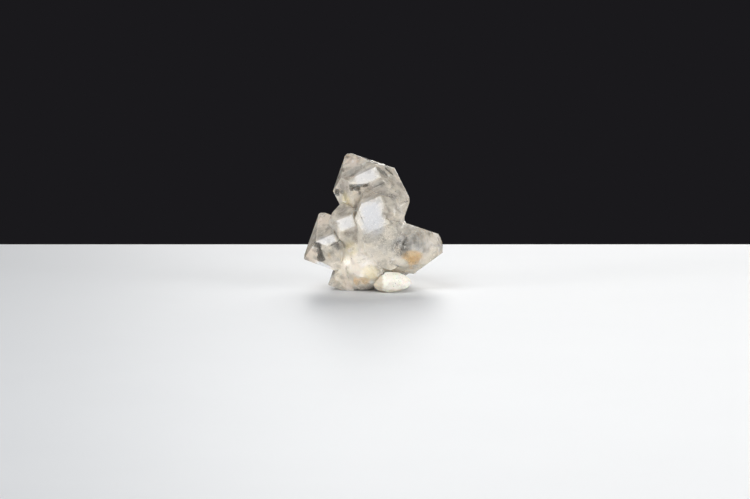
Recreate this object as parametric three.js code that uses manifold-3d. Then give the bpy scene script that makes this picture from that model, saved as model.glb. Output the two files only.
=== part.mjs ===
// A hand-sized cluster of doubly terminated quartz crystals, grown together in nearly parallel
// positions, with one lump of white matrix at its foot. Millimetres, +Z up, front towards -Y.

import * as THREE from "three";
import { mergeVertices } from "three/addons/utils/BufferGeometryUtils.js";
import Module from "manifold-3d";

const wasm = await Module();
wasm.setup();

// Quartz's own angle: a pyramid face's normal stands this far from the long axis.
const PYRAMID_NORMAL = THREE.MathUtils.degToRad(51.8);
const ALONG = Math.cos(PYRAMID_NORMAL);
const ACROSS = Math.sin(PYRAMID_NORMAL);
const TURN = Math.PI / 3; // six prism faces round the long axis

// The cluster was measured along a line of sight that comes down on the table at this angle, by an
// eye that stood this far from the middle.
const SIGHT = THREE.MathUtils.degToRad(8);
const EYE = 1047;

const MATRIX_GAP = 0.3; // clearance between the white lump and the quartz
const WELD = 1e-4; // corners closer than this are one corner
const UNEVEN = 0.618; // share of a whole that spreads repeated values without a pattern
const GOLDEN = Math.PI * (3 - Math.sqrt(5)); // turn from one evenly spread point to the next

// A place given as right of the middle, up the sight plane and nearer to the eye.
function at(right, up, near) {
  return new THREE.Vector3(
    right,
    up * Math.sin(SIGHT) - near * Math.cos(SIGHT),
    up * Math.cos(SIGHT) + near * Math.sin(SIGHT),
  );
}

// The turned frame of a crystal: its long axis, the normal of its front prism face, and the way
// across that face. lean is the long axis's angle in the sight plane, tip how far its top leans
// away from the eye, and roll a turn about the long axis.
function stance(lean, tip, roll = 0) {
  const a = THREE.MathUtils.degToRad(lean);
  const t = THREE.MathUtils.degToRad(tip);
  const axis = at(Math.cos(a) * Math.cos(t), Math.sin(a) * Math.cos(t), -Math.sin(t));
  const face = at(Math.cos(a) * Math.sin(t), Math.sin(a) * Math.sin(t), Math.cos(t));
  face.applyAxisAngle(axis, THREE.MathUtils.degToRad(roll));
  return { axis, face, across: new THREE.Vector3().crossVectors(face, axis) };
}

const PARALLEL = stance(116, 25); // the stance that the crystals nearly share

const SIDE = 0;
const TOP = 1;
const FOOT = 2;

// The flat faces of one crystal, as normals with their distances from its middle.
// sides are the prism faces' distances; tops and feet are the heights at which the pyramid faces
// would meet the long axis. All three lists run round the axis from the front face.
function faces({ way = PARALLEL, sides, tops, feet, cuts = [] }) {
  const made = [];
  for (let k = 0; k < 6; k++) {
    const out = way.face
      .clone()
      .multiplyScalar(Math.cos(k * TURN))
      .addScaledVector(way.across, Math.sin(k * TURN));
    const slope = (end) => out.clone().multiplyScalar(ACROSS).addScaledVector(way.axis, end * ALONG);
    made.push({ kind: SIDE, normal: out, reach: sides[k] });
    made.push({ kind: TOP, normal: slope(1), reach: tops[k] * ALONG });
    made.push({ kind: FOOT, normal: slope(-1), reach: feet[k] * ALONG });
  }
  return [...made, ...cuts];
}

// The same distance for all six faces of a kind.
const even = (size) => Array(6).fill(size);

// A crystal with all its faces at plain distances: thick across and long from tip to tip.
function plain(thick, long, way = PARALLEL) {
  return { way, sides: even(thick / 2), tops: even(long / 2), feet: even(long / 2) };
}

// Tangent planes spread evenly over an egg-shaped solid, for a crystal that has been rounded off.
// half is the egg's half width, half height and half depth, as seen along the line of sight, and
// full says how boxy it is: 2 for a true egg, more for a plumper one.
function egg({ half, full = 2, count, cuts = [] }) {
  const power = full / (full - 1);
  const planes = [];
  for (let n = 0; n < count; n++) {
    const up = 1 - (2 * n + 1) / count;
    const ring = Math.sqrt(1 - up * up);
    const out = new THREE.Vector3(ring * Math.cos(n * GOLDEN), up, ring * Math.sin(n * GOLDEN));
    const sum = Math.abs(out.x * half.x) ** power + Math.abs(out.y * half.y) ** power;
    const reach = (sum + Math.abs(out.z * half.z) ** power) ** (1 / power);
    planes.push({ normal: at(out.x, out.y, out.z), reach });
  }
  return [...planes, ...cuts];
}

// A growth step: a thin plate that stands proud of one face and stops short of that face's edges,
// by an uneven distance from one edge to the next.
function step(planes, { kind, k, rise, inset }) {
  const raised = planes[k * 3 + kind];
  const uneven = (n) => 0.3 + 1.6 * ((n * UNEVEN) % 1);
  return planes.map((f, n) => ({
    ...f,
    reach: f.reach + (f === raised ? rise : -inset * uneven(n)),
  }));
}

// A small face that takes off the part of a crystal's front prism face that lies to the right of a
// line. The line passes through a place in the sight plane with the given heading, in degrees, and
// steep is the angle between the two faces.
function chip(middle, { way, sides }, { right, up, heading, steep = 11 }) {
  const turn = THREE.MathUtils.degToRad(heading);
  const slant = THREE.MathUtils.degToRad(steep);
  const toEye = at(0, 0, 1);
  const onFace = (x, y) => {
    const p = at(x, y, 0).sub(middle);
    return p.addScaledVector(toEye, (sides[0] - way.face.dot(p)) / way.face.dot(toEye));
  };
  const start = onFace(right, up);
  const along = onFace(right + Math.cos(turn), up + Math.sin(turn)).sub(start).normalize();
  const away = along.cross(way.face);
  const normal = away.multiplyScalar(Math.sin(slant)).addScaledVector(way.face, Math.cos(slant));
  return { normal, reach: normal.dot(start) };
}

// The convex solid that lies inside every face, as a closed geometry.
function crystal(planes) {
  const corners = [];
  const owners = planes.map(() => []);
  const line = new THREE.Vector3();
  const side = new THREE.Vector3();
  for (let i = 0; i < planes.length; i++)
    for (let j = i + 1; j < planes.length; j++) {
      line.crossVectors(planes[i].normal, planes[j].normal);
      for (let k = j + 1; k < planes.length; k++) {
        const det = line.dot(planes[k].normal);
        if (Math.abs(det) < 1e-6) continue;
        const p = line.clone().multiplyScalar(planes[k].reach);
        p.addScaledVector(side.crossVectors(planes[j].normal, planes[k].normal), planes[i].reach);
        p.addScaledVector(side.crossVectors(planes[k].normal, planes[i].normal), planes[j].reach);
        p.divideScalar(det);
        if (planes.some((q) => q.normal.dot(p) > q.reach + WELD)) continue;
        let n = corners.findIndex((c) => c.distanceTo(p) < 10 * WELD);
        if (n < 0) n = corners.push(p) - 1;
        for (const f of [i, j, k]) if (!owners[f].includes(n)) owners[f].push(n);
      }
    }
  const triangles = [];
  owners.forEach((ring, f) => {
    if (ring.length < 3) return;
    const middle = new THREE.Vector3();
    ring.forEach((n) => middle.addScaledVector(corners[n], 1 / ring.length));
    const u = corners[ring[0]].clone().sub(middle).normalize();
    const v = new THREE.Vector3().crossVectors(planes[f].normal, u);
    const angle = (n) => {
      const d = corners[n].clone().sub(middle);
      return Math.atan2(d.dot(v), d.dot(u));
    };
    ring.sort((a, b) => angle(a) - angle(b));
    for (let n = 1; n < ring.length - 1; n++) triangles.push(ring[0], ring[n], ring[n + 1]);
  });
  const geometry = new THREE.BufferGeometry().setFromPoints(corners);
  return geometry.setIndex(triangles);
}

// A closed geometry as a solid that can be joined and cut, and back.
function solid(geometry) {
  const bare = new THREE.BufferGeometry()
    .setAttribute("position", geometry.getAttribute("position"))
    .setIndex(geometry.index);
  const merged = mergeVertices(bare, WELD);
  return new wasm.Manifold(
    new wasm.Mesh({
      numProp: 3,
      vertProperties: new Float32Array(merged.getAttribute("position").array),
      triVerts: new Uint32Array(merged.index.array),
    }),
  );
}

function geometryOf(body) {
  const mesh = body.getMesh();
  return new THREE.BufferGeometry()
    .setAttribute("position", new THREE.BufferAttribute(mesh.vertProperties, 3))
    .setIndex(new THREE.BufferAttribute(mesh.triVerts, 1));
}

// The eye saw what lies behind the middle a little too small. This gives every corner its true
// place along its own line of sight, and it keeps flat faces flat.
function trued(geometry) {
  const toEye = at(0, 0, 1);
  const corners = geometry.getAttribute("position");
  const p = new THREE.Vector3();
  for (let n = 0; n < corners.count; n++) {
    p.fromBufferAttribute(corners, n);
    p.multiplyScalar(EYE / (EYE + p.dot(toEye)));
    corners.setXYZ(n, p.x, p.y, p.z);
  }
  return geometry;
}

// Two crystals in the middle lie so truly parallel that they share one front face.
const HEART_WAY = stance(114.1, 23.8, 1);
const HEART = at(1.24, 16.81, -0.5);
const HEART_FOOT = at(0.79, 14.06, 0.7);
const HEART_FRONT = 6.04;
const HEART_FOOT_FRONT = HEART_FRONT + HEART_WAY.face.dot(HEART.clone().sub(HEART_FOOT));

// The crystals that are seen from the front, each with its middle and its faces' distances.
const FRONT = {
  tower: {
    place: at(-0.37, 23.73, -7),
    way: stance(116.6, 24.6, 2.6),
    sides: [7.15, 7.16, 7.13, 7.02, 7.12, 6.76],
    tops: [12.28, 14.57, 15.19, 14.83, 13.18, 12.72],
    feet: [8.9, 13.74, 11.7, 13.74, 14.7, 13.32],
    chips: [
      { right: -4.3, up: 26.16, heading: 0 },
      { right: -2.98, up: 29.51, heading: 218 },
    ],
    steps: [
      { kind: TOP, k: 5, rise: 0.12, inset: 1.6 },
      { kind: SIDE, k: 3, rise: 0.25, inset: 1.2 },
      { kind: SIDE, k: 4, rise: 0.2, inset: 1.6 },
    ],
  },
  left: {
    place: at(-10.34, 11.72, -3),
    way: stance(116.5, 23.5, 6.4),
    sides: [6.94, 7.29, 6.74, 7.29, 7.29, 3.98],
    tops: [7.89, 8.07, 9.09, 10.49, 10.96, 10.34],
    feet: [11.91, 9.92, 9.71, 9.92, 9.52, 8.58],
    steps: [{ kind: SIDE, k: 2, rise: 0.25, inset: 1 }],
  },
  shoulder: {
    place: at(-4.99, 14.8, -0.3),
    way: stance(110.9, 19, -1.2),
    sides: [4.66, 5.13, 4.9, 5.46, 5.46, 3.42],
    tops: [8.37, 10.68, 8, 8.43, 8.43, 8.18],
    feet: [6.54, 8.18, 8.43, 8.43, 8.43, 8.18],
  },
  heart: {
    place: HEART,
    way: HEART_WAY,
    sides: [HEART_FRONT, 5.99, 6.7, 6.7, 5.8, 5.69],
    tops: [11.49, 10.14, 11.16, 11.16, 11.16, 11.16],
    feet: [10.6, 11.16, 11.41, 11.41, 9.2, 7.97],
    chips: [{ right: 2.6, up: 20.96, heading: 80 }],
  },
  heartFoot: {
    place: HEART_FOOT,
    way: HEART_WAY,
    sides: [HEART_FOOT_FRONT, 5.6, 6.7, 6.7, 6.2, 6.27],
    tops: [13.14, 11, 11.16, 11.16, 11.16, 7.63],
    feet: [8.93, 11.41, 11.41, 11.41, 11.41, 11.41],
    chips: [{ right: -2.18, up: 16, heading: 270 }],
  },
  heel: {
    place: at(-6.97, 3.42, -2),
    way: stance(116.6, 24.6, 2.6),
    sides: [5.2, 3.85, 4.46, 4.46, 4.46, 3.97],
    tops: [5.46, 5.2, 5.82, 5.46, 5.46, 5.46],
    feet: [5.46, 5.87, 5.2, 5.46, 5.46, 5.46],
  },
};

// The crystals at the back, which carry the cluster behind and fill it out.
const BACK = {
  backTower: { place: at(2.4, 14.6, -12.5), ...plain(10.5, 21, stance(121, 31, 9)) },
  backLeft: { place: at(-7.4, 10.6, -11), ...plain(9.6, 18, stance(112, 20, -8)) },
  backRight: { place: at(8.4, 10.2, -10.5), ...plain(9, 15, stance(109, 33, 14)) },
  backFoot: { place: at(0.4, 4.6, -10.5), ...plain(10.4, 16.5, stance(118, 22, -5)) },
};

// Small crystals that sit on the big ones at the sides and the back: place, thickness and length.
const BUDS = {
  onTower: { place: at(5.6, 23.2, -11.8), ...plain(4.2, 8.4, stance(124, 12, 20)) },
  onTowerBack: { place: at(-2.6, 21.5, -16.2), ...plain(4.8, 9.4, stance(108, 38, -16)) },
  onLeft: { place: at(-12.4, 9, -8.8), ...plain(3.6, 7.2, stance(133, 8, 12)) },
  onLeftBack: { place: at(-10.6, 13.6, -12.8), ...plain(4, 7.6, stance(96, 42, 4)) },
  onRight: { place: at(13.2, 11.6, -6.6), ...plain(3.4, 6.6, stance(141, 30, -9)) },
  onRightBack: { place: at(6.6, 6.1, -14.4), ...plain(4.4, 8.2, stance(84, 26, 18)) },
  onFoot: { place: at(-4.2, 4.4, -14.2), ...plain(4.2, 8, stance(150, 16, 0)) },
};

// The bodies that are rounded all over: the milky core with its toe, and the long etched crystal.
const CORE = {
  place: at(-2.7, 6.9, -1.5),
  half: new THREE.Vector3(6.5, 6.7, 6.2),
  full: 2.2,
  count: 150,
};
const TOE = {
  place: at(-0.6, 4.2, 1.2),
  half: new THREE.Vector3(4.2, 3.1, 4.2),
  count: 90,
  cuts: [{ normal: at(1, 0, 0), reach: 2.95 }],
};
const KNOB = {
  place: at(7.5, 10.5, -2),
  half: new THREE.Vector3(9.7, 6.35, 7),
  full: 2.3,
  count: 190,
  cuts: [
    { normal: at(0.319, 0.948, 0), reach: 6.08 },
    { normal: at(0.588, -0.809, 0), reach: 6.6 },
  ],
};

// Every crystal as a solid in its place, with all its faces moved out by grow.
function grown(grow) {
  const placed = (planes, place) => {
    const moved = planes.map((f) => ({ ...f, reach: f.reach + grow }));
    return solid(crystal(moved).translate(place.x, place.y, place.z));
  };
  const bodies = [];
  const all = Object.values({ ...FRONT, ...BACK, ...BUDS });
  for (const { place, steps = [], chips = [], ...shape } of all) {
    const planes = faces({ ...shape, cuts: chips.map((c) => chip(place, shape, c)) });
    bodies.push(placed(planes, place), ...steps.map((s) => placed(step(planes, s), place)));
  }
  for (const body of [CORE, TOE, KNOB]) bodies.push(placed(egg(body), body.place));
  return bodies;
}

const joined = (bodies) => bodies.reduce((whole, next) => whole.add(next));
const below = solid(new THREE.BoxGeometry(200, 200, 100).translate(0, 0, -50));

const quartzMesh = new THREE.Mesh(
  trued(geometryOf(joined(grown(0)).subtract(below))),
  new THREE.MeshStandardMaterial({ color: 0xd9d2c6, roughness: 0.12, metalness: 0 }),
);
quartzMesh.name = "quartz_cluster";

// The white lump: a knobbly egg with a blunt point at its right, tucked in under the quartz.
const LUMP = { place: at(4.5, 2.1, 2.66), half: new THREE.Vector3(4.9, 2.65, 4.1), taper: 0.22 };

function lumpGeometry() {
  const round = new THREE.IcosahedronGeometry(1, 7);
  round.deleteAttribute("normal");
  round.deleteAttribute("uv");
  const ball = mergeVertices(round);
  const corners = ball.getAttribute("position");
  const p = new THREE.Vector3();
  for (let n = 0; n < corners.count; n++) {
    p.fromBufferAttribute(corners, n);
    const swell =
      0.05 * Math.sin(5.1 * p.x + 1.3) * Math.sin(4.3 * p.y + 0.4) +
      0.04 * Math.sin(8.7 * p.z + 2.1) * Math.sin(7.9 * p.x) +
      0.025 * Math.sin(14.3 * p.y + 0.9) * Math.sin(13.1 * p.z);
    const narrow = 1 - LUMP.taper * Math.max(0, p.x);
    p.multiplyScalar(1 + swell).multiply(LUMP.half);
    const world = at(p.x, p.y * narrow, p.z * narrow).add(LUMP.place);
    corners.setXYZ(n, world.x, world.y, world.z);
  }
  return ball;
}

const lump = solid(lumpGeometry()).subtract(joined(grown(MATRIX_GAP))).subtract(below);
const lumpMesh = new THREE.Mesh(
  trued(geometryOf(lump)),
  new THREE.MeshStandardMaterial({ color: 0xf3eddc, roughness: 0.85, metalness: 0 }),
);
lumpMesh.name = "matrix_lump";

const specimen = new THREE.Group();
specimen.add(quartzMesh, lumpMesh);

// The origin goes to the middle of the footprint, on the table.
const box = new THREE.Box3().setFromObject(specimen);
const middle = box.getCenter(new THREE.Vector3());
specimen.position.set(-middle.x, -middle.y, -box.min.z);

export default specimen;
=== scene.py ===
"""Looks of a small free-standing cluster of milky-clear, doubly terminated quartz crystals."""

from __future__ import annotations

import logging
import math
from dataclasses import dataclass
from enum import Enum

import bmesh
import bpy
from mathutils import Euler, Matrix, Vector, noise
from mathutils.bvhtree import BVHTree


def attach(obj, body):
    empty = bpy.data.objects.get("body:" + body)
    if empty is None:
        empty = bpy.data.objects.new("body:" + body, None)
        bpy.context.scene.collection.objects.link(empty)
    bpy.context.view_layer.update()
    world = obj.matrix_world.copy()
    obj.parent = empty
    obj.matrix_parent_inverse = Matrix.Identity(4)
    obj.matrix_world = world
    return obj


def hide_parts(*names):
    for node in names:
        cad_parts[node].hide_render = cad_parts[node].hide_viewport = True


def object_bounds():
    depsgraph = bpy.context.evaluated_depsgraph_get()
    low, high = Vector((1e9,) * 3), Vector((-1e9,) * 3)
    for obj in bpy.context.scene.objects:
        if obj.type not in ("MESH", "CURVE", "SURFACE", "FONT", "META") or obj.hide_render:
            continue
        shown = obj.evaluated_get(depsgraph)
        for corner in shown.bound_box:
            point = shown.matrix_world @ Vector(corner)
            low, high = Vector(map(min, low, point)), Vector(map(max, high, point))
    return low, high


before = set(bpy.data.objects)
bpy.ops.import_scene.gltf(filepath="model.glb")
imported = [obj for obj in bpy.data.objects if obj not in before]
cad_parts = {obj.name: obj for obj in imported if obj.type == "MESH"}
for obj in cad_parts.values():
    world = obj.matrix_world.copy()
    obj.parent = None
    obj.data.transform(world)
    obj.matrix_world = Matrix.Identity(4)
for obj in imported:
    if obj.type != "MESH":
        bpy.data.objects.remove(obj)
cad_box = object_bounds()

log = logging.getLogger("quartz")
MM = 0.001  # one millimetre in the scene's metres
WELD = 0.002 * MM  # corners closer than this are one corner

Triple = tuple[float, float, float]
Colour = Triple


@dataclass(frozen=True)
class Sight:
    """The eye that measured the specimen, and the plane in which it did so.

    A place is given in millimetres: right of the middle, up the sight plane and nearer to the eye.
    middle is where that middle stands on the ground, right and back of the frame's origin.
    """

    pitch: float = math.radians(8)
    eye: float = 1047.0
    middle: tuple[float, float] = (-0.0179, -8.1406)

    def at(self, right: float, up: float, near: float = 0.0) -> Vector:
        """Turns a measured place into a point of the frame.

        Args:
            right: Millimetres to the right of the middle.
            up: Millimetres up the sight plane.
            near: Millimetres towards the eye.

        Returns:
            The point in metres.
        """
        back = up * math.sin(self.pitch) - near * math.cos(self.pitch)
        rise = up * math.cos(self.pitch) + near * math.sin(self.pitch)
        return Vector((right + self.middle[0], back + self.middle[1], rise)) * MM

    @property
    def eye_point(self) -> Vector:
        """Where the eye was."""
        return self.at(0, 0, self.eye)


SIGHT = Sight()


class Surface:
    """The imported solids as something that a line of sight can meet."""

    def __init__(self, *nodes: str) -> None:
        """Reads the named nodes' triangles."""
        self.trees = []
        for name in nodes:
            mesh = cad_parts[name].data
            points = [v.co for v in mesh.vertices]
            self.trees.append(BVHTree.FromPolygons(points, [tuple(p.vertices) for p in mesh.polygons]))

    def front(self, right: float, up: float, under: float = 0.0) -> Vector:
        """Finds the first point of the surface that the eye meets.

        Args:
            right: Millimetres to the right of the middle, as seen.
            up: Millimetres up the sight plane, as seen.
            under: How far past the surface the point is taken, in millimetres.

        Returns:
            The point in metres, or the sight plane's own where the line misses.
        """
        start = SIGHT.eye_point
        way = (SIGHT.at(right, up) - start).normalized()
        hits = [tree.ray_cast(start, way)[0] for tree in self.trees]
        found = [h for h in hits if h is not None]
        if not found:
            return SIGHT.at(right, up)
        return min(found, key=lambda h: (h - start).length) + way * under * MM


class Wire:
    """One output of a node tree. Sums on it add Math nodes."""

    def __init__(self, graph: Graph, socket: bpy.types.NodeSocket) -> None:
        """Keeps the socket and the tree that it belongs to."""
        self.graph = graph
        self.socket = socket

    def _math(self, operation: str, *values: Wire | float) -> Wire:
        """Adds one Math node on the given values."""
        return self.graph.node("ShaderNodeMath", {"operation": operation}, dict(enumerate(values)))

    def __add__(self, other: Wire | float) -> Wire:
        """self + other."""
        return self._math("ADD", self, other)

    def __radd__(self, other: float) -> Wire:
        """other + self."""
        return self._math("ADD", other, self)

    def __sub__(self, other: Wire | float) -> Wire:
        """self - other."""
        return self._math("SUBTRACT", self, other)

    def __rsub__(self, other: float) -> Wire:
        """other - self."""
        return self._math("SUBTRACT", other, self)

    def __mul__(self, other: Wire | float) -> Wire:
        """self * other."""
        return self._math("MULTIPLY", self, other)

    def __rmul__(self, other: float) -> Wire:
        """other * self."""
        return self._math("MULTIPLY", other, self)

    def clamped(self, low: float = 0.0, high: float = 1.0) -> Wire:
        """The value kept between two limits."""
        return self._math("MINIMUM", self._math("MAXIMUM", self, low), high)

    def over(self, other: Wire | float) -> Wire:
        """The larger of two masks."""
        return self._math("MAXIMUM", self, other)

    def root(self) -> Wire:
        """The value's square root."""
        return self._math("SQRT", self)

    def between(self, low: float, high: float) -> Wire:
        """A mask that rises smoothly from 0 at low to 1 at high."""
        return self.graph.node(
            "ShaderNodeMapRange",
            {"interpolation_type": "SMOOTHSTEP"},
            {"Value": self, "From Min": low, "From Max": high, "To Min": 0.0, "To Max": 1.0},
        )

    def sibling(self, out: str) -> Wire:
        """Another output of the same node."""
        return Wire(self.graph, self.socket.node.outputs[out])


class Graph:
    """A node tree of any kind, built node by node."""

    def __init__(self, tree: bpy.types.NodeTree) -> None:
        """Takes over an empty tree."""
        self.nodes = tree.nodes
        self.links = tree.links

    def node(
        self,
        kind: str,
        settings: dict | None = None,
        inputs: dict | None = None,
        out: int | str = 0,
    ) -> Wire | None:
        """Adds a node.

        Args:
            kind: The node's type.
            settings: What is set on the node itself.
            inputs: Values or wires for its sockets, by name or number.
            out: The output that is returned.

        Returns:
            The wire of that output.
        """
        made = self.nodes.new(kind)
        for key, value in (settings or {}).items():
            setattr(made, key, value)
        for key, value in (inputs or {}).items():
            if isinstance(value, Wire):
                self.links.new(value.socket, made.inputs[key])
            else:
                made.inputs[key].default_value = value
        return Wire(self, made.outputs[out]) if made.outputs else None


class Tree(Graph):
    """A material and its node tree."""

    farthest: float = 2.4  # how far a blot is measured from its middle, in its own half sizes

    def __init__(self, name: str) -> None:
        """Makes an empty material."""
        self.material = bpy.data.materials.new(name)
        self.material.use_nodes = True
        super().__init__(self.material.node_tree)
        self.nodes.clear()
        self.place = self.node("ShaderNodeTexCoord", out="Object")

    def noise(
        self, size: float, detail: float = 3, rough: float = 0.5, shift: float = 0.0, warp: float = 0.0
    ) -> Wire:
        """A cloudy pattern between 0 and 1.

        Args:
            size: The width of its main patches, in millimetres.
            detail: How many finer layers it has.
            rough: How strong the finer layers are.
            shift: Moves the pattern, so that two of one size differ.
            warp: How far it is distorted.

        Returns:
            The pattern's value.
        """
        moved = self.node(
            "ShaderNodeMapping",
            {"vector_type": "POINT"},
            {"Vector": self.place, "Location": (shift, shift * 0.7, -shift)},
        )
        return self.node(
            "ShaderNodeTexNoise",
            {},
            {
                "Vector": moved,
                "Scale": 1 / (size * MM),
                "Detail": detail,
                "Roughness": rough,
                "Distortion": warp,
            },
        )

    def mix(self, factor: Wire | float, first: Wire | Colour, second: Wire | Colour) -> Wire:
        """Blends two colours.

        Args:
            factor: 0 for the first, 1 for the second.
            first: A colour wire or three numbers.
            second: A colour wire or three numbers.

        Returns:
            The blended colour.
        """
        full = [c if isinstance(c, Wire) else (*c, 1) for c in (first, second)]
        return self.node("ShaderNodeMix", {"data_type": "RGBA"}, {0: factor, 6: full[0], 7: full[1]}, 2)

    def blot(
        self, centre: Vector, half: Triple, turn: float, ragged: Wire, edge: float, boxy: bool = False
    ) -> Wire:
        """A soft-edged mask, shaped as an egg or as a brick with rounded corners.

        Args:
            centre: Its middle, in metres.
            half: Its half width, half depth and half height, in millimetres.
            turn: How far it is turned in the sight plane, in degrees, anticlockwise.
            ragged: A pattern round 0 that makes its outline uneven.
            edge: The width of its soft edge, as a share of its size.
            boxy: Whether it is shaped as a brick.

        Returns:
            The mask, 1 inside.
        """
        local = self.node(
            "ShaderNodeMapping",
            {"vector_type": "TEXTURE"},
            {
                "Vector": self.place,
                "Location": centre,
                "Rotation": Euler((0, -math.radians(turn), 0)),
                "Scale": Vector(half) * MM * self.farthest,
            },
        )
        if boxy:
            square = self.node("ShaderNodeVectorMath", {"operation": "MULTIPLY"}, {0: local, 1: local})
            reach = self.node("ShaderNodeVectorMath", {"operation": "LENGTH"}, {0: square}, "Value").root()
        else:
            reach = 1 - self.node("ShaderNodeTexGradient", {"gradient_type": "SPHERICAL"}, {0: local}, 1)
        return 1 - (reach * self.farthest + ragged).between(1 - edge, 1 + edge)

    def finish(self, surface: Wire, volume: Wire | None = None) -> bpy.types.Material:
        """Joins the shaders to the output and returns the material."""
        inputs = {"Surface": surface}
        if volume is not None:
            inputs["Volume"] = volume
        self.node("ShaderNodeOutputMaterial", {}, inputs)
        return self.material


@dataclass(frozen=True)
class Cloud:
    """A cloudy pattern, and the part of its range that makes a mask.

    The mask rises from 0 at low to 1 at high. The other fields are what Tree.noise takes.
    """

    size: float
    low: float = 0.0
    high: float = 1.0
    detail: float = 3
    rough: float = 0.5
    shift: float = 0.0
    warp: float = 0.0

    def pattern(self, t: Tree) -> Wire:
        """The pattern itself."""
        return t.noise(self.size, self.detail, self.rough, self.shift, self.warp)

    def mask(self, t: Tree) -> Wire:
        """The pattern as a mask."""
        return self.pattern(t).between(self.low, self.high)


def divide(bm: bmesh.types.BMesh, grid: float, rounds: int) -> None:
    """Halves the long edges of a mesh, round after round.

    Args:
        bm: The mesh.
        grid: The longest edge that stays whole, in metres.
        rounds: How many rounds there are at most.
    """
    for _ in range(rounds):
        long = [e for e in bm.edges if e.calc_length() > grid]
        if not long:
            break
        bmesh.ops.subdivide_edges(bm, edges=long, cuts=1)
        bmesh.ops.triangulate(bm, faces=[f for f in bm.faces if len(f.verts) > 3])


def make_object(bm: bmesh.types.BMesh, name: str) -> bpy.types.Object:
    """Turns a shaped mesh into a smoothly shaded object of the scene.

    Args:
        bm: The mesh, which is freed.
        name: The object's name.

    Returns:
        The object.
    """
    mesh = bpy.data.meshes.new(name)
    bm.to_mesh(mesh)
    bm.free()
    mesh.polygons.foreach_set("use_smooth", [True] * len(mesh.polygons))
    made = bpy.data.objects.new(name, mesh)
    bpy.context.scene.collection.objects.link(made)
    return made


@dataclass(frozen=True)
class Stuff:
    """What a patch in the quartz is made of; some patches are painted reflections, painted highlights and
    painted light instead.

    clear is how much of the milkiness it takes away, or adds where it is negative, edge how soft
    its outline is, mottle how broken up it is, and boxy whether it has corners.
    """

    colour: Colour
    clear: float = 0.0
    edge: float = 0.5
    mottle: float = 0.0
    boxy: bool = False


class Tone(Enum):
    """The kinds of patches that show in the quartz; some stand for painted reflections and painted light.
    """

    # painted reflection: a bright white facet that mirrors light from below
    PAINTED_FACET_REFLECTION = Stuff((0.95, 0.94, 0.93), clear=-0.5, edge=0.25, boxy=True)
    # painted reflection: the cool tint of the key lamp mirrored in the bright faces
    PAINTED_REFLECTION_TINT = Stuff((0.56, 0.568, 0.60), clear=-0.6, edge=0.45, boxy=True)
    WHITE = Stuff((0.95, 0.92, 0.86), edge=0.4, mottle=0.2)
    MILK = Stuff((0.95, 0.89, 0.81), clear=-0.4, edge=0.7, mottle=0.25)
    PALE = Stuff((0.87, 0.83, 0.76), edge=0.6)
    CREAM = Stuff((0.84, 0.77, 0.65), edge=0.6, mottle=0.2)
    PINK = Stuff((0.84, 0.73, 0.62), edge=0.6, mottle=0.15)
    YELLOW = Stuff((0.84, 0.73, 0.46), edge=0.5, mottle=0.3)
    TAN = Stuff((0.74, 0.55, 0.33), edge=0.45, mottle=0.25)
    ORANGE = Stuff((0.84, 0.61, 0.33), clear=0.25, edge=0.22, mottle=0.15)
    UMBER = Stuff((0.40, 0.35, 0.30), clear=0.1, edge=0.5, mottle=0.3)
    GREY = Stuff((0.37, 0.38, 0.38), clear=0.25, edge=0.5, mottle=0.4)
    SMOKE = Stuff((0.20, 0.20, 0.19), clear=0.4, edge=0.35, mottle=0.4)
    # clearer stone, with a painted reflection of the dark backdrop as its near-black colour
    DARK = Stuff((0.06, 0.058, 0.048), clear=0.6, edge=0.22, mottle=0.3, boxy=True)
    SPECKLED = Stuff((0.07, 0.068, 0.06), clear=0.5, edge=0.5, mottle=0.85)


@dataclass(frozen=True)
class Patch:
    """One patch in the quartz: its kind, where the eye sees it, its size, its turn and its strength.

    It goes into the stone by least millimetres, and by reach more for each millimetre of its half
    size.
    """

    tone: Tone
    right: float
    up: float
    half_width: float
    half_height: float
    turn: float = 0.0
    strength: float = 1.0
    reach: float = 0.8
    least: float = 0.8

    @property
    def depth(self) -> float:
        """How far it goes into the stone, in millimetres."""
        return self.least + self.reach * max(self.half_width, self.half_height)

    def mask(self, t: Tree, surface: Surface, ragged: Wire, fine: Wire) -> Wire:
        """Places it on the surface that the eye meets there.

        Args:
            t: The material's tree.
            surface: The solids on which it is placed.
            ragged: A pattern round 0 that makes its outline uneven.
            fine: A pattern from 0 to 1 that breaks it up.

        Returns:
            Its mask.
        """
        stuff = self.tone.value
        half = (self.half_width, self.depth, self.half_height)
        mask = t.blot(surface.front(self.right, self.up), half, self.turn, ragged, stuff.edge, stuff.boxy)
        return mask * (self.strength - fine * (stuff.mottle * self.strength))


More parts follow.
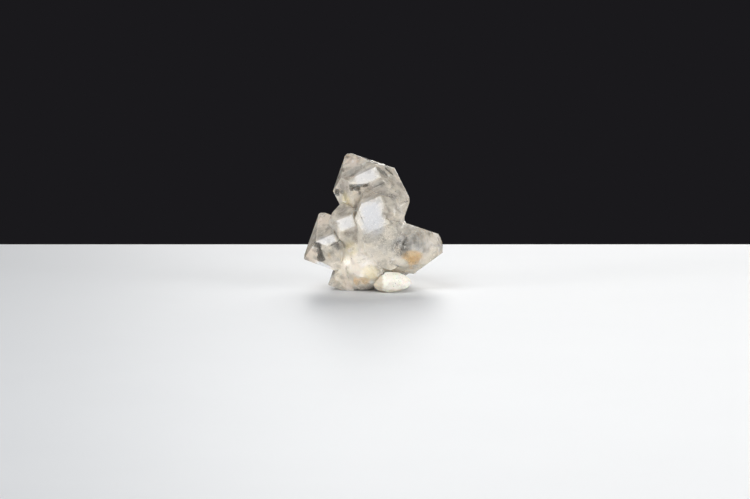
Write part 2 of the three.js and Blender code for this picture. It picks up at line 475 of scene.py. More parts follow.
PATCHES = [
    # the top crystal's point and its left side
    Patch(Tone.MILK, -5.0, 31.7, 3.0, 2.6, -15, 0.45),
    Patch(Tone.PINK, -5.3, 31.9, 2.9, 2.4, -15, 0.55),
    Patch(Tone.TAN, -6.4, 33.4, 0.7, 0.35, 0, 0.4),
    Patch(Tone.TAN, -3.9, 32.1, 0.45, 0.3, 0, 0.35),
    Patch(Tone.WHITE, -5.1, 32.1, 0.35, 0.4, 0, 0.8),
    Patch(Tone.WHITE, -2.4, 31.4, 0.55, 0.22, 30, 0.85),
    Patch(Tone.GREY, -4.8, 29.7, 1.8, 1.0, 20, 0.6),
    Patch(Tone.SMOKE, -5.1, 28.65, 0.8, 0.28, 20, 0.75),
    Patch(Tone.UMBER, -7.1, 26.0, 1.3, 3.6, 4, 0.65),
    # painted dark: clear windows that show the dark backdrop
    Patch(Tone.DARK, -7.55, 29.9, 0.35, 0.42, 0, 0.5),
    Patch(Tone.DARK, -9.05, 24.4, 0.6, 0.85, 0, 0.95),
    Patch(Tone.SMOKE, -7.9, 24.4, 0.7, 0.4, 0, 0.7),
    Patch(Tone.WHITE, -9.3, 22.6, 0.28, 0.9, 28, 0.95),
    Patch(Tone.YELLOW, -6.8, 22.3, 1.2, 1.9, 8, 1.0),
    # painted highlight: a small bright spot beside the yellow stain
    Patch(Tone.WHITE, -7.2, 22.0, 0.6, 0.18, 20, 0.85),
    # under and beside the upper bright face
    # painted reflection: cool tint of the key lamp mirrored in the upper bright face
    Patch(Tone.PAINTED_REFLECTION_TINT, -1.9, 28.4, 2.5, 1.5, 24, 0.6),
    # painted dark: clear windows that show the dark backdrop
    Patch(Tone.DARK, -4.6, 25.55, 1.4, 0.78, 0, 1.0),
    Patch(Tone.DARK, -2.8, 26.0, 1.5, 0.42, 8, 0.95),
    Patch(Tone.CREAM, -4.1, 24.3, 2.1, 0.13, 28, 0.7),
    Patch(Tone.GREY, 1.1, 26.0, 1.9, 0.75, 20, 0.6),
    Patch(Tone.SMOKE, 1.2, 26.1, 1.5, 0.2, 24, 0.7),
    Patch(Tone.PALE, 0.6, 25.5, 1.4, 0.15, 22, 0.7),
    Patch(Tone.UMBER, -0.9, 24.2, 3.7, 1.7, 8, 0.7),
    # painted dark: a clear window that shows the dark backdrop
    Patch(Tone.DARK, -3.35, 24.2, 0.32, 0.45, 0, 0.6),
    Patch(Tone.SMOKE, 1.9, 29.6, 1.7, 0.42, -42, 0.65),
    # painted dark: a thin clear window that shows the dark backdrop
    Patch(Tone.DARK, 3.8, 29.6, 1.4, 0.17, -42, 0.75, 0.0),
    Patch(Tone.SMOKE, 3.0, 29.0, 1.1, 0.18, -55, 0.65),
    Patch(Tone.UMBER, 2.6, 26.6, 0.9, 2.3, 12, 0.4),
    Patch(Tone.WHITE, 3.85, 28.6, 0.3, 0.36, 0, 0.9),
    Patch(Tone.WHITE, 2.6, 27.1, 0.5, 0.14, -40, 0.8),
    Patch(Tone.SPECKLED, 4.3, 23.2, 1.5, 0.8, 0, 0.6),
    Patch(Tone.SMOKE, 8.1, 22.1, 0.6, 0.2, 0, 0.75),
    Patch(Tone.UMBER, 3.5, 19.7, 0.95, 1.4, 0, 0.55),
    Patch(Tone.PALE, 7.2, 19.2, 1.1, 2.5, 8, 0.5),
    Patch(Tone.WHITE, 5.2, 19.6, 0.26, 1.15, 0, 0.95),
    Patch(Tone.WHITE, 6.1, 20.5, 0.5, 0.22, 10, 0.8),
    Patch(Tone.WHITE, 7.1, 21.2, 0.8, 0.24, 28, 0.8),
    # the middle bright faces
    # painted reflection: cool tint of the key lamp mirrored in the middle bright faces
    Patch(Tone.PAINTED_REFLECTION_TINT, -0.5, 18.4, 2.5, 3.8, 8, 0.85),
    Patch(Tone.PAINTED_REFLECTION_TINT, -6.8, 16.7, 1.8, 1.4, 18, 0.55),
    # the left crystal
    # painted reflection: cool tint of the key lamp mirrored in the left crystal's bright face
    Patch(Tone.PAINTED_REFLECTION_TINT, -11.4, 12.6, 2.3, 0.9, 12, 0.6),
    Patch(Tone.MILK, -12.0, 17.6, 2.6, 2.5, 0, 0.7),
    Patch(Tone.PINK, -12.0, 17.6, 2.4, 2.3, 0, 0.6),
    Patch(Tone.WHITE, -12.8, 18.5, 0.25, 0.25, 0, 0.8),
    Patch(Tone.WHITE, -13.0, 17.7, 0.2, 0.3, 0, 0.7),
    Patch(Tone.GREY, -10.0, 14.6, 0.7, 1.7, 0, 0.4),
    Patch(Tone.UMBER, -6.8, 14.3, 0.45, 0.6, 0, 0.75),
    Patch(Tone.UMBER, -5.0, 14.2, 1.3, 1.6, 0, 0.35),
    Patch(Tone.PINK, -15.3, 9.0, 2.2, 2.3, 15, 0.65),
    # cream colour of the stone plus painted light on a face turned down from the lamps
    Patch(Tone.CREAM, -10.9, 7.8, 1.9, 2.0, 0, 0.6),
    Patch(Tone.TAN, -11.0, 8.6, 0.45, 0.95, 8, 0.55),
    Patch(Tone.WHITE, -15.05, 10.7, 0.4, 0.45, 0, 0.95),
    # painted dark: clear windows in the left crystal that show the dark backdrop
    Patch(Tone.DARK, -13.85, 11.25, 0.92, 0.8, -10, 0.95),
    Patch(Tone.DARK, -13.35, 9.4, 0.68, 1.1, 14, 0.88),
    Patch(Tone.DARK, -13.0, 7.95, 0.95, 0.85, 14, 0.82),
    Patch(Tone.SMOKE, -8.9, 11.0, 1.6, 0.85, -28, 0.62),
    # painted dark: a clear window that shows the dark backdrop
    Patch(Tone.DARK, -9.5, 11.7, 1.4, 0.16, 27, 0.6),
    # painted reflection: the bright white facet at the left crystal's foot
    Patch(Tone.PAINTED_FACET_REFLECTION, -12.35, 6.3, 2.2, 0.5, -25, 1.0),
    # the core and the foot
    Patch(Tone.MILK, -3.5, 7.3, 3.5, 2.4, -8, 0.8),
    Patch(Tone.YELLOW, -6.8, 7.7, 1.0, 0.9, 0, 0.6),
    Patch(Tone.MILK, -3.6, 4.9, 2.8, 1.7, 20, 0.8),
    Patch(Tone.YELLOW, -5.6, 10.4, 1.6, 1.9, 10, 0.7),
    Patch(Tone.WHITE, -5.9, 10.0, 0.6, 0.4, 30, 0.7),
    Patch(Tone.WHITE, -1.9, 6.6, 1.0, 0.4, 20, 0.7),
    # cream colour of the stone plus painted light on the foot, which faces down from the lamps
    Patch(Tone.CREAM, -7.2, 4.2, 3.4, 4.2, -10, 0.7),
    Patch(Tone.UMBER, -7.7, 3.3, 0.5, 0.5, 0, 0.4),
    Patch(Tone.YELLOW, -0.8, 4.3, 2.0, 1.9, 0, 0.65),
    Patch(Tone.TAN, -4.3, 2.2, 0.7, 1.2, 8, 0.95),
    Patch(Tone.TAN, -2.3, 2.3, 1.3, 1.0, -15, 1.0),
    Patch(Tone.PINK, -6.2, 1.6, 1.3, 1.5, 0, 0.5),
    # painted highlight: the pinkish-white bright strip on the toe
    Patch(Tone.WHITE, 0.1, 2.0, 1.3, 0.35, -10, 0.8),
    # the long etched crystal
    Patch(Tone.GREY, 6.9, 10.8, 2.3, 2.4, 0, 0.6),
    Patch(Tone.SPECKLED, 6.9, 10.5, 2.1, 1.8, 0, 1.0),
    Patch(Tone.SPECKLED, 7.9, 12.2, 0.6, 1.2, -10, 0.9),
    # painted dark: clear windows in the etched crystal that show the dark backdrop
    Patch(Tone.DARK, 6.4, 9.9, 1.1, 0.6, 22, 0.6),
    Patch(Tone.DARK, 7.6, 11.6, 0.35, 0.9, -8, 0.5),
    Patch(Tone.WHITE, 5.2, 11.0, 0.18, 0.6, -20, 0.9),
    Patch(Tone.WHITE, 6.6, 11.5, 0.28, 0.2, 0, 0.8),
    Patch(Tone.WHITE, 7.7, 10.7, 0.18, 0.34, 0, 0.8),
    Patch(Tone.GREY, 10.4, 11.9, 1.5, 2.0, 0, 0.65),
    Patch(Tone.SMOKE, 10.2, 12.4, 0.5, 1.3, 4, 0.55),
    Patch(Tone.SMOKE, 9.2, 11.2, 0.3, 0.9, 10, 0.55),
    Patch(Tone.GREY, 12.5, 10.9, 1.8, 1.1, 0, 0.45),
    Patch(Tone.SPECKLED, 13.0, 10.0, 0.9, 0.6, 0, 0.5),
    Patch(Tone.PALE, 9.7, 11.6, 0.12, 1.0, -4, 0.7),
    Patch(Tone.PALE, 11.5, 11.6, 0.12, 0.9, 5, 0.7),
    # painted highlight: a bright glint on the etched crystal
    Patch(Tone.WHITE, 4.85, 7.6, 0.42, 0.34, 0, 0.95),
    Patch(Tone.PALE, 6.6, 7.0, 1.4, 1.2, -20, 0.45),
    Patch(Tone.SMOKE, 6.6, 5.9, 2.0, 0.2, -24, 0.65),
    Patch(Tone.ORANGE, 9.6, 8.4, 2.5, 1.5, -4, 0.85),
    Patch(Tone.ORANGE, 9.9, 7.4, 1.6, 1.2, 0, 0.85),
    Patch(Tone.TAN, 9.2, 5.9, 0.5, 1.1, 12, 0.6),
    # cream colour of the stone plus painted light on the right end and the right foot, faces turned away
    # from the lamps
    Patch(Tone.PALE, 16.4, 11.6, 1.4, 2.6, 0, 0.7),
    Patch(Tone.CREAM, 14.3, 8.3, 3.6, 1.5, 35, 0.75),
    Patch(Tone.CREAM, 7.0, 4.7, 6.4, 0.9, -3, 0.8),
]

# where the core and the etched crystal meet, their skin is grainy
GRAINY = Patch(Tone.GREY, 4.6, 12.2, 6.4, 5.0)


@dataclass(frozen=True)
class QuartzFinish:
    """Milky-clear quartz: a clear body with constant optics, under a veil of varying milkiness."""

    shade: Colour = (0.57, 0.525, 0.455)
    body: Colour = (0.70, 0.65, 0.57)
    light: Colour = (0.84, 0.80, 0.73)
    cream: Colour = (0.82, 0.75, 0.63)
    ior: float = 1.544
    clear_colour: Colour = (0.99, 0.985, 0.975)
    absorb_colour: Colour = (0.80, 0.73, 0.62)
    absorb_density: float = 60.0
    glow: float = 0.7
    glow_spread: Triple = (1.0, 0.86, 0.7)
    glow_radius: float = 0.0018
    milk_low: float = 0.52
    milk_high: float = 0.94
    milk_most: float = 0.98
    polish: float = 0.05
    etched_rough: float = 0.22
    relief: float = 0.4
    relief_height: float = 0.00006
    hidden_middle: Triple = (0.0, 12.0, 12.0)
    hidden_half: Triple = (22.0, 9.5, 22.0)
    hidden_edge: float = 0.3
    ragged_fine: Cloud = Cloud(0.55, detail=4, rough=0.65, shift=0.3)
    ragged_coarse: Cloud = Cloud(1.6, detail=2, shift=0.6)
    speckle: Cloud = Cloud(0.3, 0.42, 0.58, rough=0.65, shift=7.3)
    clouds: Cloud = Cloud(3.2, 0.34, 0.66, detail=4, rough=0.6, warp=0.3)
    wisps: Cloud = Cloud(0.9, 0.46, 0.70, detail=5, rough=0.7, shift=1.7, warp=0.5)
    warmth: Cloud = Cloud(5.0, 0.50, 0.68, detail=2, shift=8.2)
    milkiness: Cloud = Cloud(2.6, 0.32, 0.60, detail=5, rough=0.62, shift=0.5, warp=0.6)
    veils: Cloud = Cloud(3.0, 0.42, 0.62, detail=4, rough=0.55, shift=11.4, warp=0.5)
    stains: Cloud = Cloud(3.4, 0.60, 0.68, detail=4, rough=0.6, shift=15.8, warp=0.3)
    windows: Cloud = Cloud(4.0, 0.57, 0.66, detail=4, rough=0.6, shift=21.7, warp=0.6)
    mottling: Cloud = Cloud(0.4, 0.48, 0.66, detail=4, rough=0.7, shift=2.9)
    flecks: Cloud = Cloud(0.36, 0.62, 0.70, detail=2, shift=4.4)
    grains: Cloud = Cloud(0.28, 0.64, 0.71, detail=2, shift=5.9)
    wear: Cloud = Cloud(2.4, 0.45, 0.75, detail=2, shift=0.9)
    growth: Cloud = Cloud(1.6, shift=3.1)
    pits: Cloud = Cloud(0.4, rough=0.7, shift=2.3)

    def build(self, surface: Surface) -> bpy.types.Material:
        """Makes the material.

        Args:
            surface: The solids on which the patches are placed.

        Returns:
            The finished material.
        """
        t = Tree("quartz")
        ragged = (self.ragged_fine.pattern(t) - 0.5) * 0.8 + (self.ragged_coarse.pattern(t) - 0.5) * 0.5
        fine = self.speckle.mask(t)
        etched = t.node("ShaderNodeAttribute", {"attribute_name": "etched"}, out="Fac")
        grainy = GRAINY.mask(t, surface, ragged, fine)
        rugged = grainy.over(etched)
        middle = Vector(self.hidden_middle) * MM
        behind = t.blot(middle, self.hidden_half, 0, ragged * 0.2, self.hidden_edge)
        colour, milk = self._body(t, grainy)
        colour, milk = self._hidden_side(t, colour, milk, behind)
        for patch in PATCHES:
            mask = patch.mask(t, surface, ragged, fine)
            colour = t.mix(mask, colour, patch.tone.value.colour)
            if patch.tone.value.clear:
                milk = milk * (1 - mask * patch.tone.value.clear)
        colour, milk = self._specks(t, colour, milk, grainy, 1 - behind * 0.6)
        bump = self._relief(t, rugged)
        rough = self.polish + self.wear.mask(t) * self.polish + rugged * self.etched_rough
        shared = {"IOR": self.ior, "Roughness": rough, "Normal": bump}
        clear = t.node(
            "ShaderNodeBsdfPrincipled",
            {},
            {"Base Color": (*self.clear_colour, 1), "Transmission Weight": 1.0, **shared},
        )
        veiled = t.node(
            "ShaderNodeBsdfPrincipled",
            {"subsurface_method": "RANDOM_WALK"},
            {
                "Base Color": colour,
                "Subsurface Weight": self.glow,
                "Subsurface Radius": self.glow_spread,
                "Subsurface Scale": self.glow_radius,
                **shared,
            },
        )
        absorb = t.node(
            "ShaderNodeVolumeAbsorption",
            {},
            {"Color": (*self.absorb_colour, 1), "Density": self.absorb_density},
        )
        share = milk.clamped(0, self.milk_most)
        return t.finish(t.node("ShaderNodeMixShader", {}, {0: share, 1: clear, 2: veiled}), absorb)

    def _body(self, t: Tree, grainy: Wire) -> tuple[Wire, Wire]:
        """The body's colour and milkiness: warm grey clouds of several sizes."""
        colour = t.mix(self.clouds.mask(t), self.shade, self.body)
        colour = t.mix(self.wisps.mask(t) * 0.5, colour, self.light)
        colour = t.mix(grainy * 0.42, colour, Tone.GREY.value.colour)
        colour = t.mix(self.warmth.mask(t) * 0.5, colour, self.cream)
        milk = self.milk_low + self.milkiness.mask(t) * (self.milk_high - self.milk_low)
        return colour, milk + grainy * 0.15

    def _hidden_side(self, t: Tree, colour: Wire, milk: Wire, behind: Wire) -> tuple[Wire, Wire]:
        """Carries the milky clouds, stains and clear windows round to the side away from the eye."""
        colour = t.mix(behind * self.veils.mask(t) * 0.7, colour, Tone.MILK.value.colour)
        colour = t.mix(behind * self.stains.mask(t) * 0.7, colour, Tone.TAN.value.colour)
        window = behind * self.windows.mask(t)
        colour = t.mix(window * 0.6, colour, Tone.GREY.value.colour)
        return colour, milk * (1 - window * 0.8)

    def _specks(
        self, t: Tree, colour: Wire, milk: Wire, grainy: Wire, amount: Wire
    ) -> tuple[Wire, Wire]:
        """Fine grey mottling, pale flecks and dark grains, more of them where the surface is grainy."""
        mottle = self.mottling.mask(t) * (0.12 + 0.4 * grainy) * amount
        colour = t.mix(mottle, colour, Tone.UMBER.value.colour)
        fleck = self.flecks.mask(t)
        colour = t.mix(fleck * 0.5, colour, Tone.WHITE.value.colour)
        grain = self.grains.mask(t) * (0.3 + 0.4 * grainy) * amount
        colour = t.mix(grain, colour, Tone.SMOKE.value.colour)
        return colour, milk.over(fleck * 0.9)

    def _relief(self, t: Tree, rugged: Wire) -> Wire:
        """Normal: faint growth relief on the faces and pitting where the surface is etched."""
        pitted = self.pits.pattern(t) * (0.1 + rugged * 1.5)
        height = self.growth.pattern(t) * 0.4 + pitted
        inputs = {"Strength": self.relief, "Distance": self.relief_height, "Height": height}
        return t.node("ShaderNodeBump", {}, inputs)


@dataclass(frozen=True)
class QuartzCluster:
    """The joined crystals, with crisp facets, worn edges and smoothly blended etched bodies."""

    node: str = "quartz_cluster"
    crisp: float = math.radians(27)
    flat: float = math.radians(1.5)
    shaded_sharp: float = math.radians(16)
    soft_rim: float = 0.3
    chamfer: float = 0.07 * MM
    grid: float = 0.5 * MM
    halvings: int = 7
    rounds: int = 22
    swell: float = 0.08 * MM
    swell_size: float = 1.5 * MM
    swell_level: float = 0.35

    def build(self, finish: QuartzFinish, surface: Surface) -> bpy.types.Object:
        """Makes the finished crystals.

        Args:
            finish: The quartz's finish.
            surface: The solids on which the patches are placed.

        Returns:
            The crystals' object, riding on the root body.
        """
        bm = bmesh.new()
        bm.from_mesh(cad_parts[self.node].data)
        bmesh.ops.remove_doubles(bm, verts=bm.verts, dist=WELD)
        bmesh.ops.dissolve_degenerate(bm, edges=bm.edges, dist=WELD)
        bmesh.ops.triangulate(bm, faces=bm.faces)
        etched = bm.faces.layers.int.new("etched_face")
        self._sort(bm, etched)
        divide(bm, self.grid, self.halvings)
        self._round(bm)
        share = bm.verts.layers.float.new("etched")
        self._spread(bm, etched, share)
        self._swell(bm, share)
        self._chamfer(bm)
        bmesh.ops.triangulate(bm, faces=bm.faces)
        made = make_object(bm, "quartz_crystals")
        made.data.attributes.remove(made.data.attributes["etched_face"])
        made.data.set_sharp_from_angle(angle=self.shaded_sharp)
        made.data.materials.append(finish.build(surface))
        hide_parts(self.node)
        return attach(made, "root")

    def _facets(self, bm: bmesh.types.BMesh) -> list[list[bmesh.types.BMFace]]:
        """Gathers the triangles of each flat facet."""
        seen: set[bmesh.types.BMFace] = set()
        facets = []
        for first in bm.faces:
            if first in seen:
                continue
            seen.add(first)
            facet, waiting = [], [first]
            while waiting:
                face = waiting.pop()
                facet.append(face)
                shared = [e for e in face.edges if len(e.link_faces) == 2]
                flat = [e for e in shared if e.calc_face_angle(0) < self.flat]
                nearby = [f for e in flat for f in e.link_faces if f not in seen]
                seen.update(nearby)
                waiting.extend(set(nearby))
            facets.append(facet)
        return facets

    def _sort(self, bm: bmesh.types.BMesh, etched: bmesh.types.BMLayerItem) -> None:
        """Marks the sharp edges, and the faces that belong to the rounded bodies."""
        for edge in bm.edges:
            edge.smooth = len(edge.link_faces) == 2 and edge.calc_face_angle(0) < self.crisp
        for facet in self._facets(bm):
            rim = [e for f in facet for e in f.edges if e.calc_face_angle(0) >= self.flat]
            soft = sum(e.calc_length() for e in rim if e.smooth)
            rounded = soft > self.soft_rim * sum(e.calc_length() for e in rim)
            for face in facet:
                face[etched] = int(rounded)
                face.smooth = True
        for edge in bm.edges:
            if not edge.smooth and not edge.is_convex and any(f[etched] for f in edge.link_faces):
                edge.smooth = True

    def _round(self, bm: bmesh.types.BMesh) -> None:
        """Smooths the rounded bodies and leaves every crisp edge where it is."""
        free = [v for v in bm.verts if all(e.smooth for e in v.link_edges) and v.co.z > self.grid]
        for _ in range(self.rounds):
            sums = [sum((e.other_vert(v).co for e in v.link_edges), Vector()) for v in free]
            moved = [total / len(v.link_edges) for v, total in zip(free, sums)]
            for vert, place in zip(free, moved):
                vert.co = vert.co.lerp(place, 0.5)

    def _spread(
        self, bm: bmesh.types.BMesh, etched: bmesh.types.BMLayerItem, share: bmesh.types.BMLayerItem
    ) -> None:
        """Spreads the etched mark a little over the faces that it borders on."""
        for vert in bm.verts:
            vert[share] = sum(f[etched] for f in vert.link_faces) / max(1, len(vert.link_faces))
        for _ in range(3):
            sums = [sum(e.other_vert(v)[share] for e in v.link_edges) for v in bm.verts]
            for vert, total in zip(bm.verts, sums):
                if all(e.smooth for e in vert.link_edges):
                    vert[share] = (vert[share] + total / len(vert.link_edges)) / 2

    def _swell(self, bm: bmesh.types.BMesh, share: bmesh.types.BMLayerItem) -> None:
        """Gives the etched bodies a low uneven swell, inwards alone."""
        bm.normal_update()
        for vert in bm.verts:
            free = all(e.smooth for e in vert.link_edges) and vert.co.z >= self.grid
            if vert[share] < 0.01 or not free:
                continue
            height = noise.fractal(vert.co / self.swell_size, 0.8, 2.1, 4)
            vert.co += vert.normal * (min(0.0, height - self.swell_level) * self.swell * vert[share])

    def _chamfer(self, bm: bmesh.types.BMesh) -> None:
        """Wears the outer sharp edges down a little."""
        edges = [e for e in bm.edges if not e.smooth and e.is_convex and len(e.link_faces) == 2]
        bmesh.ops.bevel(
            bm,
            geom=edges,
            offset=self.chamfer,
            offset_type="OFFSET",
            segments=1,
            profile=0.5,
            affect="EDGES",
            clamp_overlap=True,
        )


@dataclass(frozen=True)
class MatrixFinish:
    """Cream-white, chalky matrix with beige stains, and beige painted shade where it meets the quartz and
    the ground.
    """

    cream: Colour = (0.95, 0.925, 0.83)
    beige: Colour = (0.62, 0.545, 0.43)
    speck: Colour = (0.20, 0.17, 0.13)
    quartz_shade_middle: Triple = (-0.3, 1.8, 3.0)
    quartz_shade_half: Triple = (2.6, 6.0, 4.0)
    quartz_shade_edge: float = 0.16
    ground_shade_middle: Triple = (4.5, -0.6, 3.0)
    ground_shade_half: Triple = (8.0, 6.0, 1.1)
    ground_shade_edge: float = 0.4
    outline: Cloud = Cloud(0.8)
    stains: Cloud = Cloud(1.6, 0.52, 0.75, detail=4, rough=0.6, shift=0.2)
    specks: Cloud = Cloud(0.26, 0.66, 0.72, detail=2, shift=1.2)
    chalk: Cloud = Cloud(0.4, detail=5, rough=0.7, shift=4.2)

    def build(self) -> bpy.types.Material:
        """Makes the material and returns it."""
        t = Tree("matrix")
        ragged = (self.outline.pattern(t) - 0.5) * 0.5
        patch = self.stains.mask(t)
        colour = t.mix(patch * 0.2, self.cream, self.beige)
        # painted shade: beige where the lump meets the quartz and along its foot by the ground
        left = t.blot(SIGHT.at(*self.quartz_shade_middle), self.quartz_shade_half, 0, ragged, self.quartz_shade_edge, True)
        under = t.blot(SIGHT.at(*self.ground_shade_middle), self.ground_shade_half, 0, ragged, self.ground_shade_edge)
        colour = t.mix((left * 0.95).over(under * 0.6), colour, self.beige)
        colour = t.mix(self.specks.mask(t) * 0.5, colour, self.speck)
        height = self.chalk.pattern(t)
        bump = t.node("ShaderNodeBump", {}, {"Strength": 0.5, "Distance": 0.0001, "Height": height})
        surface = t.node(
            "ShaderNodeBsdfPrincipled",
            {},
            {
                "Base Color": colour,
                "Roughness": 0.7 + patch * 0.2,
                "Subsurface Weight": 0.15,
                "Subsurface Scale": 0.0006,
                "Normal": bump,
            },
        )
        return t.finish(surface)


@dataclass(frozen=True)
class MatrixLump:
    """The white lump at the foot: knobs, hollows and a grainy skin."""

    node: str = "matrix_lump"
    grid: float = 0.2 * MM
    halvings: int = 4
    smoothings: int = 5
    depth: float = 0.14 * MM
    knob: float = 1.1 * MM
    knob_level: float = 0.4

    def build(self, finish: MatrixFinish) -> bpy.types.Object:
        """Makes the lump.

        Args:
            finish: The lump's finish.

        Returns:
            The lump's object, riding on the root body.
        """
        bm = bmesh.new()
        bm.from_mesh(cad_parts[self.node].data)
        bmesh.ops.remove_doubles(bm, verts=bm.verts, dist=WELD)
        divide(bm, self.grid, self.halvings)
        axes = {"use_axis_x": True, "use_axis_y": True, "use_axis_z": True}
        for _ in range(self.smoothings):
            bmesh.ops.smooth_vert(bm, verts=bm.verts, factor=0.5, **axes)
        bm.normal_update()
        for vert in bm.verts:
            knobs = noise.fractal(vert.co / self.knob, 0.7, 2.2, 5)
            vert.co += vert.normal * self.depth * min(0.0, knobs - self.knob_level)
            vert.co.z = max(0.0, vert.co.z)
        made = make_object(bm, "white_lump")
        made.data.materials.append(finish.build())
        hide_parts(self.node)
        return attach(made, "root")


@dataclass(frozen=True)
class GrainFinish:
    """An earthy finish that wanders between two colours."""

    name: str
    first: Colour
    second: Colour
    size: float = 0.3
    rough: float = 0.5

    def build(self) -> bpy.types.Material:
        """Makes the material and returns it."""
        t = Tree(self.name)
        cloud = t.noise(self.size, 4, 0.65).between(0.38, 0.62)
        bump = t.node("ShaderNodeBump", {}, {"Strength": 0.4, "Distance": 0.00003, "Height": cloud})
        return t.finish(
            t.node(
                "ShaderNodeBsdfPrincipled",
                {},
                {
                    "Base Color": t.mix(cloud, self.first, self.second),
                    "Roughness": self.rough + cloud * 0.2,
                    "Normal": bump,
                },
            )
        )


@dataclass(frozen=True)
class Zone:
    """A round place, as the eye sees it, where grains lie more thickly."""

    right: float
    up: float
    half: float
    share: float

    def weight(self, centre: Vector, point: Vector) -> float:
        """How thickly they lie at a point, given the zone's centre."""
        return self.share * max(0.0, 1.0 - ((point - centre).length / (self.half * MM)) ** 2)


@dataclass(frozen=True)
class Strewing:
    """Flattened grains strewn over a piece and half sunk in its skin.

    The widths are half widths in millimetres; the least and most thickly strewn places come from
    the base share and the zones.
    """

    name: str
    slot: str
    per_mm2: float
    least: float
    most: float
    lengthwise: float
    thickness: float
    base: float
    zones: tuple[Zone, ...] = ()
    seed: int = 1
    rim: float = 0.5 * MM

    def build(
        self, over: bpy.types.Object, surface: Surface, material: bpy.types.Material
    ) -> bpy.types.Object:
        """Strews the grains.

        Args:
            over: The piece that they lie on.
            surface: The solids on which the zones are placed.
            material: The grains' finish.

        Returns:
            The grains' object, riding on the root body.
        """
        source = over.data.copy()
        self._weigh(source, surface)
        made = bpy.data.objects.new(self.name, source)
        bpy.context.scene.collection.objects.link(made)
        modifier = made.modifiers.new("strewing", "NODES")
        modifier.node_group = self._tree()
        values = {
            "Density": self.per_mm2 / MM**2,
            "Least Width": self.least * MM,
            "Most Width": self.most * MM,
            "Lengthwise": self.lengthwise,
            "Thickness": self.thickness,
            "Seed": self.seed,
            "Material": material,
        }
        for item in modifier.node_group.interface.items_tree:
            if item.in_out == "INPUT" and item.name in values:
                modifier[item.identifier] = values[item.name]
        depsgraph = bpy.context.evaluated_depsgraph_get()
        mesh = bpy.data.meshes.new_from_object(made.evaluated_get(depsgraph), depsgraph=depsgraph)
        mesh.name = self.name
        made.modifiers.remove(modifier)
        made.data = mesh
        bpy.data.meshes.remove(source)
        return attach(made, "root")

    def _weigh(self, mesh: bpy.types.Mesh, surface: Surface) -> None:
        """Writes how thickly the grains lie at each point, and keeps them off the outermost skin."""
        places = [(zone, surface.front(zone.right, zone.up)) for zone in self.zones]
        low = Vector(cad_box[0]) + Vector((self.rim, self.rim, self.rim))
        high = Vector(cad_box[1]) - Vector((self.rim, self.rim, self.rim))
        shares = []
        for vert in mesh.vertices:
            inside = all(low[i] < vert.co[i] < high[i] for i in range(3))
            near = sum(zone.weight(centre, vert.co) for zone, centre in places)
            shares.append(inside * (self.base + near))
        mesh.attributes.new("strewn", "FLOAT", "POINT").data.foreach_set("value", shares)

    def _tree(self) -> bpy.types.NodeTree:
        """Builds the node tree that strews grains over the piece it is given."""
        group = bpy.data.node_groups.new(self.name, "GeometryNodeTree")
        group.interface.new_socket("Piece", in_out="INPUT", socket_type="NodeSocketGeometry")
        for label in ("Density", "Least Width", "Most Width", "Lengthwise", "Thickness"):
            group.interface.new_socket(label, in_out="INPUT", socket_type="NodeSocketFloat")
        group.interface.new_socket("Seed", in_out="INPUT", socket_type="NodeSocketInt")
        group.interface.new_socket("Material", in_out="INPUT", socket_type="NodeSocketMaterial")
        group.interface.new_socket("Grains", in_out="OUTPUT", socket_type="NodeSocketGeometry")
        g = Graph(group)
        given = g.node("NodeGroupInput", out="Piece")
        seed = given.sibling("Seed")
        strewn = g.node("GeometryNodeInputNamedAttribute", {"data_type": "FLOAT"}, {"Name": "strewn"})
        points = g.node(
            "GeometryNodeDistributePointsOnFaces",
            {"distribute_method": "RANDOM"},
            {0: given, 4: given.sibling("Density") * strewn, 6: seed},
        )
        width = g.node(
            "FunctionNodeRandomValue",
            {"data_type": "FLOAT"},
            {2: given.sibling("Least Width"), 3: given.sibling("Most Width"), 8: seed},
            1,
        )
        turn = g.node(
            "FunctionNodeRandomValue", {"data_type": "FLOAT"}, {2: -math.pi, 3: math.pi, 8: seed}, 1
        )
        size = g.node(
            "ShaderNodeCombineXYZ",
            {},
            {0: width * given.sibling("Lengthwise"), 1: width, 2: width * given.sibling("Thickness")},
        )
        placed = g.node(
            "GeometryNodeInstanceOnPoints",
            {},
            {
                0: points,
                2: g.node("GeometryNodeMeshIcoSphere", {}, {0: 1.0, 1: 1}),
                5: points.sibling("Rotation"),
                6: size,
            },
        )
        turned = g.node(
            "GeometryNodeRotateInstances", {}, {0: placed, 2: g.node("ShaderNodeCombineXYZ", {}, {2: turn})}
        )
        whole = g.node("GeometryNodeRealizeInstances", {}, {0: turned})
        finished = g.node("GeometryNodeSetMaterial", {}, {0: whole, 2: given.sibling("Material")})
        g.node("NodeGroupOutput", {}, {0: finished})
        return group


@dataclass(frozen=True)
class IronStain:
    """The earthy orange cloud that lies just under the skin of the etched crystal."""

    right: float = 9.7
    up: float = 8.1
    half: Triple = (2.3, 1.2, 1.4)
    sunk: float = 1.3
    skin: float = 0.12 * MM
    lump: float = 0.9 * MM
    depth: float = 0.22

    def build(
        self, within: bpy.types.Object, surface: Surface, material: bpy.types.Material
    ) -> bpy.types.Object:
        """Makes the cloud.

        Args:
            within: The crystals that hold it.
            surface: The solids on which it is placed.
            material: Its finish.

        Returns:
            The cloud's object, riding on the root body.
        """
        shell = BVHTree.FromPolygons(
            [v.co for v in within.data.vertices], [tuple(p.vertices) for p in within.data.polygons]
        )
        centre = surface.front(self.right, self.up, self.sunk)
        bm = bmesh.new()
        bmesh.ops.create_icosphere(bm, subdivisions=5, radius=1.0)
        for vert in bm.verts:
            grown = 1 + self.depth * noise.fractal(vert.co * (self.half[0] * MM / self.lump), 0.8, 2.1, 4)
            vert.co = centre + Vector([c * h * MM * grown for c, h in zip(vert.co, self.half)])
            near, normal, _, _ = shell.find_nearest(vert.co)
            if (vert.co - near).dot(normal) > -self.skin:
                vert.co = near - normal * self.skin
        made = make_object(bm, "iron_stain")
        made.data.materials.append(material)
        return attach(made, "root")


